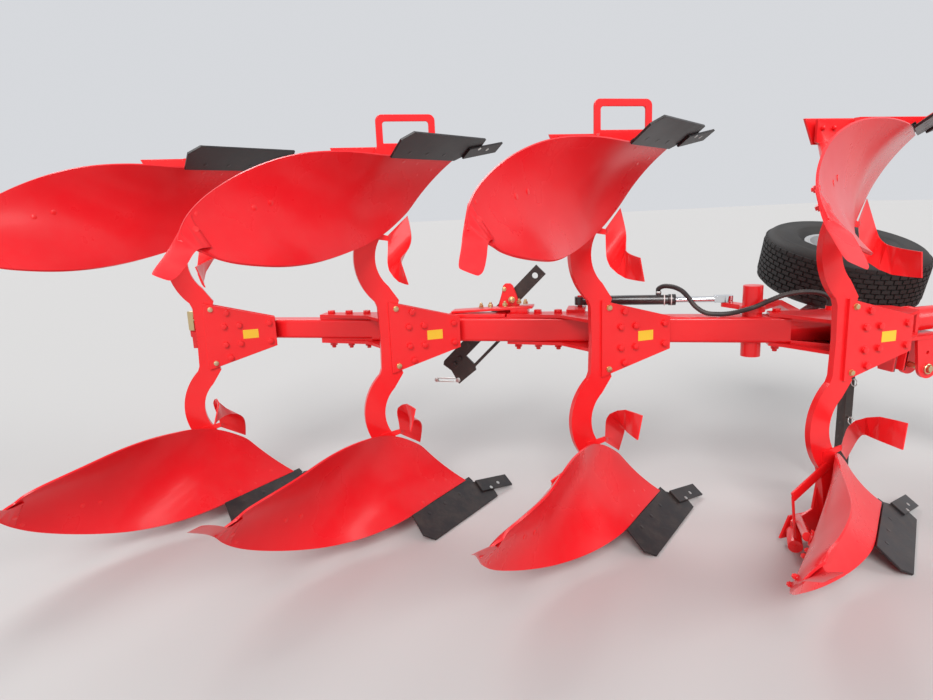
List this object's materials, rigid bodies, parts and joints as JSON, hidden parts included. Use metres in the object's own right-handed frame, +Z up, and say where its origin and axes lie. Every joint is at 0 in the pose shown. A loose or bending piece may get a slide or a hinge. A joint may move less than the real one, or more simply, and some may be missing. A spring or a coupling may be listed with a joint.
{
  "type": "moldboard plough",
  "caption": "Mounted reversible moldboard plough with paired bodies on an angled beam, a carrying wheel and a turnover headstock.",
  "frame": {"origin": "centre of the upper link's holes, in the headstock's middle plane", "axes": "+X the direction of travel, +Y the left-hand side, +Z up, with the plough parked on its lower bodies"},
  "size_m": [5.0301, 2.7842, 1.963],
  "materials": {
    "red_paint": "gloss",
    "share_black": "satin",
    "dark_paint": "satin",
    "rim_grey": "satin",
    "tyre": "matte",
    "ram_black": "gloss",
    "ram_chrome": "polished",
    "hose_rubber": "satin",
    "zinc": "zinc plated"
  },
  "bodies": {
    "headstock": {"headstock": "red_paint", "link_pins": "zinc"},
    "frame": {"main_beam": "red_paint", "rear_beam": "red_paint", "front_head": "red_paint", "turnover_shaft": "red_paint", "bracket_1": "red_paint", "bracket_2": "red_paint", "bracket_3": "red_paint", "bracket_4": "red_paint", "legs_1": "red_paint", "legs_2": "red_paint", "legs_3": "red_paint", "legs_4": "red_paint", "frogs_1": "red_paint", "frogs_2": "red_paint", "frogs_3": "red_paint", "frogs_4": "red_paint", "landsides_1": "red_paint", "landsides_2": "red_paint", "landsides_3": "red_paint", "landsides_4": "red_paint", "moldboards_1": "red_paint", "moldboards_2": "red_paint", "moldboards_3": "red_paint", "moldboards_4": "red_paint", "shares_1": "share_black", "shares_2": "share_black", "shares_3": "share_black", "shares_4": "share_black", "trash_boards_1": "red_paint", "trash_boards_2": "red_paint", "trash_boards_3": "red_paint", "trash_boards_4": "red_paint", "lifting_loops": "red_paint", "packer_mount": "red_paint", "wheel_hose": "hose_rubber"},
    "wheel_arm": {"wheel_arm": "red_paint"},
    "wheel": {"wheel_hub": "rim_grey", "tyre": "tyre"},
    "wheel_ram_barrel": {"wheel_barrel": "ram_black"},
    "wheel_ram_rod": {"wheel_rod": "ram_chrome"},
    "turnover_ram_barrel": {"turnover_barrel": "ram_black"},
    "turnover_ram_rod": {"turnover_rod": "ram_chrome"},
    "packer_arm": {"packer_arm": "dark_paint"},
    "parking_stand": {"parking_stand": "dark_paint"}
  },
  "joints": [
    {"name": "turnover", "type": "hinge", "parent": "headstock", "child": "frame", "pos_m": [-0.4, 0, -0.31], "axis": [1, 0, 0], "range_deg": [0, 180]},
    {"name": "wheel_arm_swing", "type": "hinge", "parent": "frame", "child": "wheel_arm", "pos_m": [-1.62754, 0.17025, -0.31], "axis": [0, 0, 1], "range_deg": [0, 50]},
    {"name": "wheel_spin", "type": "hinge", "parent": "wheel_arm", "child": "wheel", "pos_m": [-0.67, 0.63, -0.11], "axis": [0, -0.2588, 0.9659], "continuous": true},
    {"name": "wheel_ram_swing", "type": "hinge", "parent": "frame", "child": "wheel_ram_barrel", "pos_m": [-2.26353, 0.65868, -0.19], "axis": [0, 0, 1], "range_deg": [-10.4, 0]},
    {"name": "wheel_ram_slide", "type": "slide", "parent": "wheel_ram_barrel", "child": "wheel_ram_rod", "axis": [0.8765, -0.4813, 0], "range_m": [-0.05, 0]},
    {"name": "turnover_ram_swing", "type": "hinge", "parent": "headstock", "child": "turnover_ram_barrel", "pos_m": [-0.19, 0, 0.12], "axis": [1, 0, 0], "range_deg": [-31.4, 0]},
    {"name": "turnover_ram_slide", "type": "slide", "parent": "turnover_ram_barrel", "child": "turnover_ram_rod", "axis": [0, 0.2688, -0.9632], "range_m": [-0.136, 0]},
    {"name": "packer_arm_swing", "type": "hinge", "parent": "frame", "child": "packer_arm", "pos_m": [-2.55982, 0.83148, -0.179], "axis": [0.5, 0.866, 0], "range_deg": [-15, 40]},
    {"name": "parking_stand_slide", "type": "slide", "parent": "frame", "child": "parking_stand", "axis": [0, 0, 1], "range_m": [0, 0.35]}
  ],
  "couplings": [
    {"joint": "wheel_ram_swing", "follows": "wheel_arm_swing", "ratio": -0.203},
    {"joint": "turnover_ram_swing", "follows": "turnover", "ratio": -0.1735}
  ]
}
